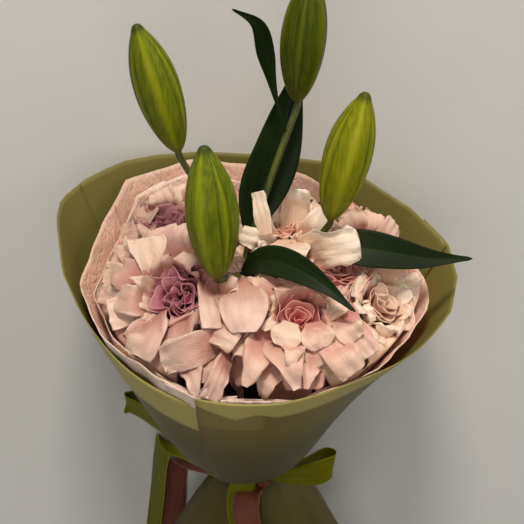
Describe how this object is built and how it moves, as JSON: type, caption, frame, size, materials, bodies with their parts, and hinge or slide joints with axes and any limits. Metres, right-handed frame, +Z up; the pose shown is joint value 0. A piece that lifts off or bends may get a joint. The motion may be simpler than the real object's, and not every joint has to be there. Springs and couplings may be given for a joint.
{
  "type": "mixed flower bouquet",
  "caption": "Wrapped bouquet of reflexed pink roses and a lily stem in bud, in pink tissue and olive film tied with satin ribbons, lying on its back",
  "frame": {"origin": "bottom centre of the box round the lying bouquet, on the surface it lies on", "axes": "the stems run along Y and the blooms point to -Y, a little raised; +Z is up, and the side that faces a viewer of the upright bouquet is on top"},
  "size_m": [0.3516, 0.6432, 0.2808],
  "materials": {
    "tissue": "matte crepe-smooth wrapping tissue with a paler folded edge",
    "film": "frosted, slightly translucent wrapping film",
    "binding_cord": "wound natural twine",
    "green_ribbon": "satin",
    "pink_ribbon": "soft satin",
    "lily_green": "waxy leaf with fine parallel veins",
    "lily_bud": "waxy, ribbed, yellow-green",
    "rose_petal": "soft velvety petal, cream to blush pink",
    "rose_heart_mauve": "soft velvety petal, mauve",
    "rose_heart_pink": "soft velvety petal, pink",
    "rose_heart_cream": "soft velvety petal, cream peach",
    "rose_stem": "smooth green stalk"
  },
  "bodies": {
    "root": {"tissue_back": "tissue", "tissue_left": "tissue", "tissue_right": "tissue", "film_back": "film", "film_left": "film", "film_right": "film", "binding_cord": "binding_cord", "ribbon_green": "green_ribbon", "ribbon_pink": "pink_ribbon", "lily_stem": "lily_green", "lily_bud_left": "lily_bud", "lily_bud_centre": "lily_bud", "lily_bud_top": "lily_bud", "lily_bud_right": "lily_bud", "rose_1_petals": "rose_petal", "rose_1_heart": "rose_heart_mauve", "rose_1_stem": "rose_stem", "rose_2_petals": "rose_petal", "rose_2_heart": "rose_heart_pink", "rose_2_stem": "rose_stem", "rose_3_petals": "rose_petal", "rose_3_heart": "rose_heart_mauve", "rose_3_stem": "rose_stem", "rose_4_petals": "rose_petal", "rose_4_heart": "rose_heart_cream", "rose_4_stem": "rose_stem", "rose_5_petals": "rose_petal", "rose_5_heart": "rose_heart_pink", "rose_5_stem": "rose_stem", "rose_6_petals": "rose_petal", "rose_6_heart": "rose_heart_cream", "rose_6_stem": "rose_stem", "rose_7_petals": "rose_petal", "rose_7_heart": "rose_heart_pink", "rose_7_stem": "rose_stem", "rose_8_petals": "rose_petal", "rose_8_heart": "rose_heart_pink", "rose_8_stem": "rose_stem"}
  },
  "joints": []
}
